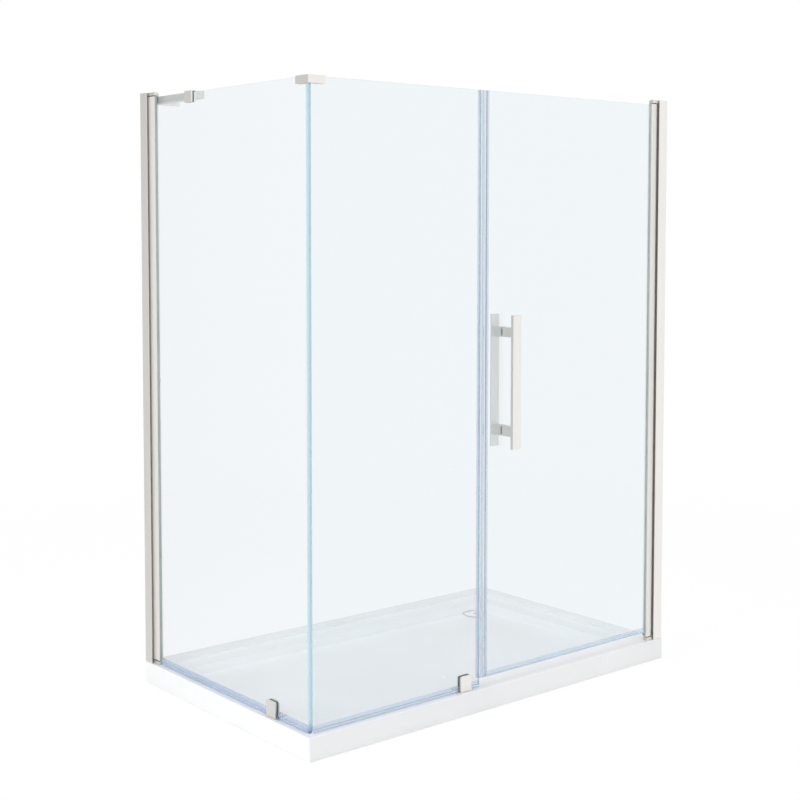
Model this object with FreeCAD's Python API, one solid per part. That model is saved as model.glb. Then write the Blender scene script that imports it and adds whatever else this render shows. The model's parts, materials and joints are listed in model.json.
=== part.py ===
import FreeCAD, Part
import os

os.makedirs("parts", exist_ok=True)

# A corner shower: a return panel on the left, a fixed front panel, and a pivot door on the right.
# Millimetres, +Z up, +X right, +Y from the door towards the back wall.
# The origin is the middle of the tray's footprint, on the floor.

# Tray: rim at the top, a lower ledge along the two walls, and a pan that falls to the drain
tray_width = 1524.0
tray_depth = 914.4
tray_height = 70.0
tray_skin = 4.0
threshold_width = 86.0
wall_rim_width = 40.0
ledge_drop = 12.0
ledge_slope_run = 6.0
wall_ledge_width = 82.0
threshold_ledge_width = 6.0
pan_depth = 22.0
pan_slope_run = 18.0
pan_fall = 4.0
pan_corner_radius = 40.0
rim_edge_radius = 1.5
pan_underside = 20.0
board_thickness = 12.0
foot_size = 90.0
foot_inset = 60.0
feet_along = 5

# Drain at the back right of the pan, for a 2 in waste pipe
drain_from_right = 206.0
drain_from_back = 178.0
drain_flat_half = 50.0
drain_flange_radius = 45.0
drain_flange_thickness = 5.0
drain_bore_radius = 30.5
drain_tail_radius = 36.0
drain_tail_lift = 2.0
drain_cover_radius = 42.0
drain_cover_thickness = 2.0
drain_seat_radius = 36.0
drain_seat_depth = 3.0
drain_skirt_wall = 3.0
drain_gasket_radius = 50.0
drain_gasket_thickness = 3.5
drain_nut_radius = 48.0
drain_nut_height = 10.0
drain_board_hole_radius = 56.0
drain_cover_gap = 1.5
drain_window_width = 40.0
drain_centre_hole_radius = 5.0

# Glass: tempered, one thickness throughout
glass_thickness = 8.0
return_inset = 20.0
front_inset = 22.0
glass_lift = 10.0
glass_height = 1838.0
door_glass_lift = 29.0
strike_line = 683.5
strike_edge_gap = 13.0
corner_gap = 5.0

# Wall profiles: open channels with two short guide legs inside
profile_width = 46.0
profile_depth = 40.0
profile_wall = 2.0
profile_over_glass = 14.5
guide_leg_depth = 22.0
guide_leg_wall = 1.6
slide_clearance = 0.2
wall_hole_radius = 2.75
wall_hole_outer_share = 0.86
wall_hole_inner_share = 0.3

# Inserts that slide in the wall profiles and are locked by screws
insert_width = 26.0
insert_wall = 2.0
screw_head_room = 12.0
glazing_inner_leg = 2.0
glazing_lip_setback = 8.5
return_insert_reach = 72.0
return_glass_engagement = 20.0
gasket_depth = 12.0
cap_height = 10.0
bottom_cap_height = 11.0
cap_overhang = 1.0
cap_nose_width = 11.0
cap_gap = 3.0
cap_plug_length = 8.0
cap_plug_clearance = 0.3
lock_screw_radius = 2.0
lock_screw_head_radius = 4.0
lock_screw_head_height = 2.4
lock_screw_bite = 4.0
lock_screw_shares = (0.12, 0.5, 0.88)
lock_screw_set_in = 30.0
screw_cap_radius = 6.0
screw_cap_height = 4.0
screw_cap_clearance = 0.3

# Pivot: the door's hinge profile turns on two pins in blocks at its ends
pivot_from_wall = 50.0
hinge_nose = 17.0
hinge_front_wall = 5.0
hinge_corner_radius = 2.0
heel_radius = 15.5
hinge_slot_depth = 10.5
hinge_glass_clearance = 0.5
pivot_web = 2.0
pin_radius = 3.0
pin_running_clearance = 0.05
pin_reach = 16.0
pin_seat_depth = 8.0
pin_boss_half = 8.0
bush_length = 22.0
bush_clearance = 0.15
washer_radius = 8.0
jamb_seal_depth = 8.0
jamb_seal_half_width = 10.0
heel_clearance = 0.4

# Seals: clear plastic channels over the glass edges
seal_wall = 1.5
seal_clearance = 0.1
seal_tray_clearance = 0.2
bottom_seal_height = 20.8
strike_leg = 7.0
fixed_strike_leg = 8.0
strike_gap = 3.5
stop_lip_reach = 9.0
stop_lip_clearance = 0.5
sweep_height = 15.0
sweep_web = 2.0
sweep_end_gap = 3.0
corner_seal_bead = 3.0

# Corner bracket at the top of the glass corner
bracket_leg = 60.0
bracket_height = 23.0
bracket_wall = 5.0
bracket_top = 2.5
bracket_lip = 5.0
pad_thickness = 1.0
bracket_pad_margin = 2.0
grub_radius = 2.5
grub_proud = 0.8
bracket_grub_share = 0.62

# Clamps that hold the panels to the tray
clamp_width = 44.5
clamp_height = 49.0
clamp_lift = 1.0
clamp_plate_thickness = 4.5
clamp_liner_thickness = 4.0
clamp_inner_thickness = 5.0
clamp_foot_reach = 32.0
clamp_foot_thickness = 4.0
clamp_corner_radius = 6.0
clamp_liner_inset = 0.5
clamp_bolt_radius = 4.0
clamp_bolt_head_radius = 7.0
clamp_bolt_head_height = 3.0
clamp_hole_radius = 7.0
clamp_bolt_height = 33.0
floor_screw_radius = 2.2
floor_screw_head_radius = 4.2
floor_screw_head_height = 1.8
floor_screw_depth = 14.0
floor_screw_spacing = 26.0
return_clamp_from_front = 207.0
front_clamp_from_left = 610.0

# Support bar along the top of the return panel, from the back wall
support_bar_width = 30.5
support_bar_height = 20.5
support_bar_wall = 1.5
support_bar_rise = 1.5
support_bar_front_from_front = 624.0
support_bar_rear_gap = 58.0
support_end_cap_thickness = 2.0
support_end_cap_rise = 3.0
support_end_plug = 8.0
support_collar_length = 16.0
support_collar_inset = 1.0
support_plate_thickness = 6.0
support_plate_width = 113.0
support_profile_clearance = 0.3
support_plate_hole_radius = 2.75
support_plate_hole_spacing = 50.0
support_plate_hole_inset = 20.0
support_clamp_width = 41.0
support_clamp_height = 35.5
support_clamp_rise = 4.5
support_clamp_plate = 5.0
support_clamp_inner = 7.0
support_notch_width = 30.0
support_notch_depth = 26.0
support_bolt_drop = 13.0

# Handle: two flat pulls, back to back through the door glass
handle_from_strike = 98.0
handle_centre_height = 1020.5
handle_length = 418.0
handle_bar_width = 35.0
handle_outer_bar_thickness = 11.0
handle_inner_bar_thickness = 4.0
handle_post_spacing = 310.0
handle_post_width = 34.0
handle_post_height = 29.0
handle_outer_post_length = 37.0
handle_inner_post_length = 42.5
handle_gasket_thickness = 2.0
handle_gasket_width = 33.0
handle_gasket_height = 20.5
handle_stud_radius = 3.0
handle_stud_seat = 14.0
handle_glass_hole_radius = 6.0
handle_grub_radius = 2.0
handle_grub_length = 8.0
edge_break = 0.8

# One overrun for every cut
overrun = 10.0

# Places worked out from the sizes above
left_edge = -tray_width / 2
right_edge = tray_width / 2
front_edge = -tray_depth / 2
back_edge = tray_depth / 2
return_outer = left_edge + return_inset
return_inner = return_outer + glass_thickness
return_middle = (return_outer + return_inner) / 2
front_outer = front_edge + front_inset
front_inner = front_outer + glass_thickness
front_middle = (front_outer + front_inner) / 2
glass_bottom = tray_height + glass_lift
glass_top = glass_bottom + glass_height
door_glass_bottom = tray_height + door_glass_lift
strike_x = left_edge + strike_line
pivot_x = right_edge - pivot_from_wall
pivot_y = front_middle
profile_top = glass_top + profile_over_glass
profile_height = profile_top - tray_height
cap_top = profile_top
cap_bottom = cap_top - cap_height
insert_top = cap_bottom - cap_gap
bottom_cap_top = tray_height + bottom_cap_height
insert_bottom = bottom_cap_top + cap_gap
gasket_width = (insert_width - glass_thickness) / 2 - insert_wall
inner_reach = glass_thickness / 2 + slide_clearance + glazing_inner_leg
drain_x = right_edge - drain_from_right
drain_y = back_edge - drain_from_back


def box(x0, x1, y0, y1, z0, z1):
    """A block between two opposite corners."""
    return Part.makeBox(x1 - x0, y1 - y0, z1 - z0, FreeCAD.Vector(x0, y0, z0))


def rod(radius, x, y, z, direction, length):
    """A round bar that starts at a point and runs along a direction."""
    return Part.makeCylinder(radius, length, FreeCAD.Vector(x, y, z), FreeCAD.Vector(*direction))


def save(node, *solids):
    """Writes the solids of one sub-part."""
    shape = solids[0] if len(solids) == 1 else Part.makeCompound(list(solids))
    shape.exportStep(f"parts/{node}.step")


def flat(points):
    """A flat face through points, in order."""
    return Part.Face(Part.makePolygon(points + points[:1]))


def level_corners(rectangle, z):
    """The corners of a level rectangle (x0, x1, y0, y1)."""
    x0, x1, y0, y1 = rectangle
    return [FreeCAD.Vector(x, y, z) for x, y in ((x0, y0), (x1, y0), (x1, y1), (x0, y1))]


def funnel(low, low_z, high, high_z):
    """A solid between two level rectangles, with flat sloping sides."""
    bottom = level_corners(low, low_z)
    top = level_corners(high, high_z)
    faces = [flat(bottom[::-1]), flat(top)]
    for i in range(4):
        j = (i + 1) % 4
        faces.append(flat([bottom[i], bottom[j], top[j], top[i]]))
    return Part.Solid(Part.Shell(faces))


def grown(rectangle, by):
    """A rectangle moved out on all four sides."""
    x0, x1, y0, y1 = rectangle
    return (x0 - by, x1 + by, y0 - by, y1 + by)


def edges_along(shape, axis):
    """The straight edges of a shape that run along X, Y or Z."""
    found = []
    for edge in shape.Edges:
        if len(edge.Vertexes) < 2:
            continue
        step = edge.Vertexes[1].Point - edge.Vertexes[0].Point
        along = abs(step[axis])
        if along > 0 and edge.Length - along < edge.Length / 1000:
            found.append(edge)
    return found


def plate_x(x0, x1, y_mid, width, z0, z1, radius):
    """An upright plate square to X, with its two upper corners rounded."""
    plate = box(x0, x1, y_mid - width / 2, y_mid + width / 2, z0, z1)
    upper = [e for e in edges_along(plate, 0) if e.CenterOfMass.z > (z0 + z1) / 2]
    return plate.makeFillet(radius, upper)


def plate_y(x_mid, width, y0, y1, z0, z1, radius):
    """An upright plate square to Y, with its two upper corners rounded."""
    plate = box(x_mid - width / 2, x_mid + width / 2, y0, y1, z0, z1)
    upper = [e for e in edges_along(plate, 1) if e.CenterOfMass.z > (z0 + z1) / 2]
    return plate.makeFillet(radius, upper)


def pan_rectangles():
    """The outlines of the ledge pocket's edge and foot, and of the pan's edge and foot."""
    pocket = (
        left_edge + threshold_width,
        right_edge - wall_rim_width,
        front_edge + threshold_width,
        back_edge - wall_rim_width,
    )
    pocket_foot = grown(pocket, -ledge_slope_run)
    x0, x1, y0, y1 = pocket_foot
    pan = (
        x0 + threshold_ledge_width,
        x1 - wall_ledge_width,
        y0 + threshold_ledge_width,
        y1 - wall_ledge_width,
    )
    return pocket, pocket_foot, pan, grown(pan, -pan_slope_run)


def tray():
    """The tray, its stiffening board and its feet."""
    pocket, pocket_foot, pan, pan_foot = pan_rectangles()
    ledge_z = tray_height - ledge_drop
    pan_z = ledge_z - pan_depth
    drain_z = pan_z - pan_fall
    shell = box(left_edge, right_edge, front_edge, back_edge, 0, tray_height)
    shell = shell.cut(funnel(pocket_foot, ledge_z, pocket, tray_height))
    deep_foot = grown(pan, -pan_slope_run * (pan_depth + pan_fall) / pan_depth)
    hollow = funnel(deep_foot, drain_z, pan, ledge_z)
    slanted = [e for e in hollow.Edges if abs(e.Vertexes[0].Point.z - e.Vertexes[1].Point.z) > pan_depth / 2]
    hollow = hollow.makeFillet(pan_corner_radius, slanted)
    drain_flat = (
        drain_x - drain_flat_half,
        drain_x + drain_flat_half,
        drain_y - drain_flat_half,
        drain_y + drain_flat_half,
    )
    fall = funnel(drain_flat, drain_z, pan_foot, pan_z)
    hollow = hollow.common(fall.fuse(box(*pan, pan_z, ledge_z)))
    shell = shell.cut(hollow)
    inside = grown((left_edge, right_edge, front_edge, back_edge), -tray_skin)
    under_pan = grown(pan, tray_skin)
    cavity = box(*inside, -overrun, ledge_z - tray_skin)
    cavity = cavity.cut(box(*under_pan, pan_underside, tray_height))
    shell = shell.cut(cavity)
    flange_floor = drain_z - drain_flange_thickness
    recess_radius = drain_flange_radius + slide_clearance
    shell = shell.cut(rod(recess_radius, drain_x, drain_y, flange_floor, (0, 0, 1), overrun))
    tail_hole = drain_tail_radius + slide_clearance
    shell = shell.cut(rod(tail_hole, drain_x, drain_y, 0, (0, 0, 1), tray_height))
    foot_top = tray_height + clamp_foot_thickness
    for place in floor_screw_places():
        shell = shell.cut(floor_screw(*place, foot_top))
    rim = [e for e in shell.Edges if on_rim(e)]
    save("tray_shell", shell.makeFillet(rim_edge_radius, rim))
    board_bottom = pan_underside - board_thickness
    board = box(*under_pan, board_bottom, pan_underside)
    board = board.cut(rod(drain_board_hole_radius, drain_x, drain_y, 0, (0, 0, 1), tray_height))
    save("tray_stiffener_board", board)
    save("tray_feet", *feet(under_pan, board_bottom))


def on_rim(edge):
    """Whether an edge lies round the outside of the tray's top face."""
    middle = edge.CenterOfMass
    outside = (
        abs(middle.x) > right_edge - tray_skin / 2
        or abs(middle.y) > back_edge - tray_skin / 2
    )
    return outside and middle.z > tray_height - tray_skin / 2


def feet(rectangle, top):
    """Support pads under the board in three rows; the back row stops short of the drain."""
    x0, x1, y0, y1 = grown(rectangle, -foot_inset - foot_size / 2)
    half = foot_size / 2
    pads = []
    x_back = drain_x - drain_board_hole_radius - foot_size
    for y, x_last in ((y0, x1), ((y0 + y1) / 2, x1), (y1, x_back)):
        for i in range(feet_along):
            x = x0 + (x_last - x0) * i / (feet_along - 1)
            pads.append(box(x - half, x + half, y - half, y + half, 0, top))
    return pads


def drain():
    """The waste fitting: a flanged body, its gasket and nut, and a cover that lifts out."""
    flange_top = tray_height - ledge_drop - pan_depth - pan_fall
    flange_floor = flange_top - drain_flange_thickness
    up = (0, 0, 1)
    body = rod(drain_flange_radius, drain_x, drain_y, flange_floor, up, drain_flange_thickness)
    tail_length = flange_floor - drain_tail_lift
    body = body.fuse(rod(drain_tail_radius, drain_x, drain_y, drain_tail_lift, up, tail_length))
    body = body.cut(rod(drain_bore_radius, drain_x, drain_y, 0, up, tray_height))
    seat_floor = flange_top - drain_seat_depth
    body = body.cut(rod(drain_seat_radius, drain_x, drain_y, seat_floor, up, overrun))
    save("drain_body", body.removeSplitter())
    ring_hole = drain_tail_radius + slide_clearance
    gasket_z = pan_underside - drain_gasket_thickness
    gasket = rod(drain_gasket_radius, drain_x, drain_y, gasket_z, up, drain_gasket_thickness)
    save("drain_gasket", gasket.cut(rod(ring_hole, drain_x, drain_y, 0, up, tray_height)))
    nut = rod(drain_nut_radius, drain_x, drain_y, gasket_z - drain_nut_height, up, drain_nut_height)
    save("drain_lock_nut", nut.cut(rod(ring_hole, drain_x, drain_y, 0, up, tray_height)))
    cover_z = flange_top + drain_cover_gap
    cover = rod(drain_cover_radius, drain_x, drain_y, cover_z, up, drain_cover_thickness)
    skirt_radius = drain_seat_radius - slide_clearance
    skirt_z = seat_floor + slide_clearance
    skirt = rod(skirt_radius, drain_x, drain_y, skirt_z, up, cover_z - skirt_z)
    skirt = skirt.cut(rod(skirt_radius - drain_skirt_wall, drain_x, drain_y, skirt_z, up, cover_z - skirt_z))
    half = drain_window_width / 2
    reach = drain_cover_radius
    skirt = skirt.cut(box(drain_x - reach, drain_x + reach, drain_y - half, drain_y + half, skirt_z, cover_z))
    skirt = skirt.cut(box(drain_x - half, drain_x + half, drain_y - reach, drain_y + reach, skirt_z, cover_z))
    cover = cover.fuse(skirt)
    cover = cover.cut(rod(drain_centre_hole_radius, drain_x, drain_y, 0, up, tray_height))
    save("drain_cover", cover.removeSplitter())


def channel_y(outer_y, depth, width, middle_x, wall):
    """The section of a wall profile that opens towards -Y, as a list of (x0, x1, y0, y1)."""
    open_y = outer_y - depth
    half = width / 2
    guide = insert_width / 2 + slide_clearance
    guide_y = outer_y - wall - guide_leg_depth
    strips = [(middle_x - half, middle_x + half, outer_y - wall, outer_y)]
    for side in (-1, 1):
        outside = sorted((middle_x + side * half, middle_x + side * (half - wall)))
        inside = sorted((middle_x + side * guide, middle_x + side * (guide + guide_leg_wall)))
        strips.append((outside[0], outside[1], open_y, outer_y))
        strips.append((inside[0], inside[1], guide_y, outer_y))
    return strips


def swapped(strips):
    """The same section turned so that its X and Y change places."""
    return [(y0, y1, x0, x1) for x0, x1, y0, y1 in strips]


def upright_section(strips, z0, z1):
    """One upright extrusion made of overlapping strips."""
    blocks = [box(*strip, z0, z1) for strip in strips]
    return blocks[0].multiFuse(blocks[1:]).removeSplitter()


def wall_hole_heights():
    """The heights of the four wall screws: an outer pair and an inner pair about the middle."""
    middle = tray_height + profile_height / 2
    heights = []
    for share in (wall_hole_outer_share, wall_hole_inner_share):
        for side in (-1, 1):
            heights.append(middle + side * share * profile_height / 2)
    return heights


def lock_heights():
    """The heights of the screws that lock an insert in its wall profile."""
    return [tray_height + share * profile_height for share in lock_screw_shares]


def return_side():
    """The return panel's wall profile, glazing profile, gaskets and caps."""
    wall_profile = upright_section(
        channel_y(back_edge, profile_depth, profile_width, return_middle, profile_wall),
        tray_height,
        profile_top,
    )
    for z in wall_hole_heights():
        start = back_edge - profile_wall - overrun / 2
        wall_profile = wall_profile.cut(rod(wall_hole_radius, return_middle, start, z, (0, 1, 0), overrun))
    half = insert_width / 2
    insert_back = back_edge - profile_wall - screw_head_room
    insert_front = back_edge - return_insert_reach
    step_y = back_edge - profile_depth
    outer_x = return_middle - half
    glass_end = insert_front + return_glass_engagement
    web = glass_end + slide_clearance
    nose = box(outer_x, return_outer, insert_front, step_y, insert_bottom, insert_top)
    lip_y = insert_front + glazing_lip_setback
    lip = box(outer_x, return_middle + inner_reach, lip_y, step_y, insert_bottom, insert_top)
    body = box(outer_x, return_middle + half, step_y, insert_back, insert_bottom, insert_top)
    inner_face = return_inner + slide_clearance
    slot = box(
        outer_x + insert_wall, inner_face, insert_front - overrun, web, insert_bottom - overrun, cap_top
    )
    cell = box(
        outer_x + insert_wall, return_middle + half - insert_wall,
        step_y + insert_wall, insert_back - insert_wall, insert_bottom - overrun, cap_top,
    )
    core = box(outer_x + insert_wall, inner_face, web + insert_wall, step_y + overrun, 0, cap_top)
    glazing = nose.fuse(lip).fuse(body).removeSplitter().cut(slot).cut(cell).cut(core)
    lock_y = back_edge - lock_screw_set_in
    for z in lock_heights():
        hole = rod(lock_screw_radius, return_middle, lock_y, z, (1, 0, 0), profile_width)
        wall_profile = wall_profile.cut(hole)
        glazing = glazing.cut(hole)
    save("return_wall_profile", wall_profile)
    save("return_glazing_profile", glazing)
    gasket = box(
        return_outer - gasket_width, return_outer,
        insert_front, insert_front + gasket_depth, insert_bottom, insert_top,
    )
    save("return_glazing_gasket", gasket)
    head_half = half + cap_overhang
    head_back = step_y + guide_head_gap()
    fit = insert_wall + cap_plug_clearance
    slot_cut = box(
        return_outer - slide_clearance, return_inner + slide_clearance,
        insert_front - overrun, glass_end + slide_clearance, 0, glass_top + slide_clearance,
    )
    for node, z0, z1, plug_z0, plug_z1 in (
        ("return_top_cap", cap_bottom, cap_top, insert_top - cap_plug_length, cap_bottom),
        ("return_bottom_cap", tray_height, bottom_cap_top, bottom_cap_top, insert_bottom + cap_plug_length),
    ):
        head_x = return_middle - head_half
        head = box(
            head_x, head_x + cap_nose_width, insert_front - cap_overhang, head_back, z0, z1
        )
        head = head.fuse(box(head_x, return_middle + inner_reach, lip_y, head_back, z0, z1))
        tongue = box(outer_x, return_middle + half, head_back, insert_back, z0, z1)
        plug = box(
            outer_x + fit, return_middle + half - fit, step_y + fit, insert_back - fit, plug_z0, plug_z1
        )
        save(node, head.fuse(tongue).fuse(plug).removeSplitter().cut(slot_cut))


def guide_head_gap():
    """How far a cap's wide head reaches into a wall profile before the guide legs start."""
    return profile_depth - profile_wall - guide_leg_depth - slide_clearance


def door_side():
    """The door side's wall profile, jamb insert and seal, and the pivot blocks and pins."""
    strips = swapped(channel_y(right_edge, profile_depth, profile_width, front_middle, profile_wall))
    wall_profile = upright_section(strips, tray_height, profile_top)
    for z in wall_hole_heights():
        start = right_edge - profile_wall - overrun / 2
        wall_profile = wall_profile.cut(rod(wall_hole_radius, start, front_middle, z, (1, 0, 0), overrun))
    half = insert_width / 2
    insert_back = right_edge - profile_wall - screw_head_room
    seal_back = pivot_x + heel_radius + jamb_seal_depth - heel_clearance
    jamb = box(seal_back, insert_back, front_middle - half, front_middle + half, bottom_cap_top, cap_bottom)
    cell = box(
        seal_back + insert_wall, insert_back - insert_wall,
        front_middle - half + insert_wall, front_middle + half - insert_wall,
        bottom_cap_top - overrun, cap_bottom + overrun,
    )
    jamb = jamb.cut(cell)
    lock_x = (seal_back + insert_back) / 2
    for z in lock_heights():
        cut = rod(lock_screw_radius, lock_x, front_middle, z, (0, 1, 0), profile_width)
        wall_profile = wall_profile.cut(cut)
        jamb = jamb.cut(cut)
    save("door_wall_profile", wall_profile)
    save("door_jamb_insert", jamb)
    seal = box(
        pivot_x + heel_radius - jamb_seal_depth / 2, seal_back,
        front_middle - jamb_seal_half_width, front_middle + jamb_seal_half_width,
        bottom_cap_top, cap_bottom,
    )
    heel_reach = heel_radius + heel_clearance
    heel = rod(heel_reach, pivot_x, pivot_y, 0, (0, 0, 1), cap_top)
    swing = box(pivot_x, pivot_x + heel_reach, front_edge, pivot_y, 0, cap_top)
    save("door_jamb_seal", seal.cut(heel).cut(swing))
    head_back = right_edge - profile_depth + guide_head_gap()
    for node, z0, z1, pin_z, pin_up in (
        ("top_pivot_block", cap_bottom, cap_top, cap_bottom + pin_seat_depth, -1),
        ("bottom_pivot_block", tray_height, bottom_cap_top, bottom_cap_top - pin_seat_depth, 1),
    ):
        nose_x = pivot_x - hinge_nose - cap_overhang
        head_y = front_middle - heel_radius - cap_overhang
        head = box(nose_x, head_back, head_y, front_outer + cap_overhang, z0, z1)
        boss_x = pivot_x - pin_boss_half
        head = head.fuse(box(boss_x, head_back, head_y, front_middle + pin_boss_half, z0, z1))
        tongue = box(head_back, insert_back, front_middle - half, front_middle + half, z0, z1)
        block = head.fuse(tongue).removeSplitter()
        pin_length = pin_seat_depth + cap_gap + pin_reach
        pin = rod(pin_radius, pivot_x, pivot_y, pin_z, (0, 0, pin_up), pin_length)
        save(node, block.cut(pin))
        save(node.replace("block", "pin"), pin)


def lock_screws():
    """The screws that lock both inserts, on the shower's inner side, and their caps."""
    screws = []
    caps = []
    side_face = profile_width / 2
    shank = side_face - insert_width / 2 + lock_screw_bite
    seal_back = pivot_x + heel_radius + jamb_seal_depth - heel_clearance
    insert_back = right_edge - profile_wall - screw_head_room
    places = []
    for z in lock_heights():
        places.append((return_middle + side_face, back_edge - lock_screw_set_in, z, (1, 0, 0)))
        places.append(((seal_back + insert_back) / 2, front_middle + side_face, z, (0, 1, 0)))
    for x, y, z, out in places:
        head = rod(lock_screw_head_radius, x, y, z, out, lock_screw_head_height)
        inward = (-out[0], -out[1], -out[2])
        screws.append(head.fuse(rod(lock_screw_radius, x, y, z, inward, shank)).removeSplitter())
        cap = rod(screw_cap_radius, x, y, z, out, screw_cap_height)
        well_radius = lock_screw_head_radius + screw_cap_clearance
        well = rod(well_radius, x, y, z, out, lock_screw_head_height + screw_cap_clearance)
        caps.append(cap.cut(well))
    save("profile_lock_screws", *screws)
    save("profile_screw_caps", *caps)


def edge_channel(x0, x1, y0, y1, z0, z1, web_bottom, web_top):
    """A channel over the foot of a panel, with a web under the glass, along its longer side."""
    gap = seal_clearance
    if x1 - x0 > y1 - y0:
        outer = box(x0, x1, y0 - gap - seal_wall, y1 + gap + seal_wall, z0, z1)
        slots = (x0 - overrun, x1 + overrun, y0 - gap, y1 + gap)
    else:
        outer = box(x0 - gap - seal_wall, x1 + gap + seal_wall, y0, y1, z0, z1)
        slots = (x0 - gap, x1 + gap, y0 - overrun, y1 + overrun)
    channel = outer.cut(box(*slots, web_top, z1 + overrun))
    if web_bottom > z0:
        channel = channel.cut(box(*slots, z0 - overrun, web_bottom))
    return channel


def panels():
    """The return panel and the fixed front panel, with their holes and seals."""
    return_front = front_inner + corner_gap
    return_end = back_edge - return_insert_reach + return_glass_engagement
    pane = box(return_outer, return_inner, return_front, return_end, glass_bottom, glass_top)
    clamp_y = front_edge + return_clamp_from_front
    bolt_z = tray_height + clamp_lift + clamp_bolt_height
    pane = pane.cut(rod(clamp_hole_radius, return_outer, clamp_y, bolt_z, (1, 0, 0), glass_thickness))
    support_y = front_edge + support_bar_front_from_front + support_clamp_width / 2
    notch_half = support_notch_width / 2
    notch = box(
        return_outer - overrun, return_inner + overrun,
        support_y - notch_half, support_y + notch_half,
        glass_top - support_notch_depth, glass_top + overrun,
    )
    save("return_glass", pane.cut(notch))
    strike_end = strike_x - strike_edge_gap
    pane = box(return_outer, strike_end, front_outer, front_inner, glass_bottom, glass_top)
    clamp_x = left_edge + front_clamp_from_left
    pane = pane.cut(rod(clamp_hole_radius, clamp_x, front_outer, bolt_z, (0, 1, 0), glass_thickness))
    save("front_glass", pane)
    seal_z = tray_height + seal_tray_clearance
    web_top = glass_bottom - seal_clearance
    web_bottom = web_top - seal_wall
    seal_top = seal_z + bottom_seal_height
    clamp_half = clamp_width / 2 + slide_clearance
    insert_front = back_edge - return_insert_reach - cap_overhang - slide_clearance
    seal = edge_channel(
        return_outer, return_inner, return_front + corner_seal_bead, insert_front,
        seal_z, seal_top, web_bottom, web_top,
    )
    gap = box(
        left_edge, return_inner + overrun, clamp_y - clamp_half, clamp_y + clamp_half, 0, seal_top + overrun
    )
    save("return_bottom_seal", seal.cut(gap))
    front_start = return_inner + corner_seal_bead + seal_clearance
    seal = edge_channel(
        front_start, strike_end, front_outer, front_inner, seal_z, seal_top, web_bottom, web_top
    )
    gap = box(
        clamp_x - clamp_half, clamp_x + clamp_half, front_edge, front_inner + overrun, 0, seal_top + overrun
    )
    save("front_bottom_seal", seal.cut(gap))


def strike_seals():
    """The upright seals where the door meets the fixed panel."""
    gap = seal_clearance
    outer_face = front_outer - gap - seal_wall
    inner_face = front_inner + gap + seal_wall
    fixed_edge = strike_x - strike_edge_gap
    door_edge = strike_x + strike_edge_gap
    web_end = strike_x - strike_gap / 2
    leg_start = fixed_edge - fixed_strike_leg
    seal = box(leg_start, web_end, outer_face, inner_face, door_glass_bottom, glass_top)
    slot = box(
        leg_start - overrun, fixed_edge + gap,
        front_outer - gap, front_inner + gap, door_glass_bottom - overrun, glass_top + overrun,
    )
    lip_y = inner_face + stop_lip_clearance
    lip = box(
        fixed_edge, strike_x + stop_lip_reach, lip_y, lip_y + seal_wall,
        door_glass_bottom, glass_top,
    )
    bridge = box(fixed_edge, web_end, inner_face - seal_wall, lip_y, door_glass_bottom, glass_top)
    fixed = seal.cut(slot).fuse(bridge).fuse(lip).removeSplitter()
    save("front_strike_seal", fixed)
    web_start = strike_x + strike_gap / 2
    seal = box(web_start, door_edge + strike_leg, outer_face, inner_face, door_glass_bottom, glass_top)
    slot = box(
        door_edge - gap, door_edge + strike_leg + overrun,
        front_outer - gap, front_inner + gap, door_glass_bottom - overrun, glass_top + overrun,
    )
    save("door_strike_seal", seal.cut(slot))


def corner_joint():
    """The clear seal up the glass corner, and the bracket at its top."""
    bead = corner_seal_bead
    gap = seal_clearance
    seal_y0 = front_inner + gap
    seal_y1 = front_inner + corner_gap - gap
    seal_z = tray_height + seal_tray_clearance
    bracket_bottom = glass_top + bracket_top + slide_clearance - bracket_height
    seal_top = bracket_bottom - slide_clearance
    strip = box(return_outer, return_inner + bead, seal_y0, seal_y1, seal_z, seal_top)
    wing = box(return_inner + gap, return_inner + bead, seal_y0, seal_y1 + bead, seal_z, seal_top)
    save("corner_seal", strip.fuse(wing).removeSplitter())
    bracket_z1 = glass_top + slide_clearance + bracket_top
    outer_x = return_outer - pad_thickness - bracket_wall
    outer_y = front_outer - pad_thickness - bracket_wall
    inner_x = return_inner + pad_thickness + bracket_lip
    inner_y = front_inner + pad_thickness + bracket_lip
    block = box(outer_x, outer_x + bracket_leg, outer_y, inner_y, bracket_bottom, bracket_z1)
    block = block.fuse(box(outer_x, inner_x, outer_y, outer_y + bracket_leg, bracket_bottom, bracket_z1))
    pad = pad_thickness
    slot_top = glass_top + slide_clearance
    left = return_outer - pad
    front = front_outer - pad
    slot = box(left, outer_x + bracket_leg + overrun, front, front_inner + pad, 0, slot_top)
    other = box(left, return_inner + pad, front, outer_y + bracket_leg + overrun, 0, slot_top)
    block = block.removeSplitter().cut(slot.fuse(other))
    reach = bracket_leg * bracket_grub_share
    grub_z = (bracket_bottom + glass_top) / 2
    grub_length = bracket_lip + pad + grub_proud
    grubs = [
        rod(grub_radius, outer_x + reach, front_inner, grub_z, (0, 1, 0), grub_length),
        rod(grub_radius, return_inner, outer_y + reach, grub_z, (1, 0, 0), grub_length),
    ]
    for grub in grubs:
        block = block.cut(grub)
    upright = [e for e in edges_along(block, 2) if e.CenterOfMass.x < outer_x + pad / 2]
    upright = [e for e in upright if e.CenterOfMass.y < outer_y + pad / 2]
    block = block.makeFillet(edge_break, upright)
    save("corner_bracket", block)
    save("corner_bracket_grub_screws", *grubs)
    margin = bracket_pad_margin
    pad_z0 = bracket_bottom + margin
    long_x = outer_x + bracket_leg - margin
    long_y = outer_y + bracket_leg - margin
    pad_outer = box(return_outer - pad, long_x, front_outer - pad, front_outer, pad_z0, glass_top)
    pad_side = box(return_outer - pad, return_outer, front_outer - pad, long_y, pad_z0, glass_top)
    save("corner_bracket_pads", pad_outer.fuse(pad_side).removeSplitter())


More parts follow.
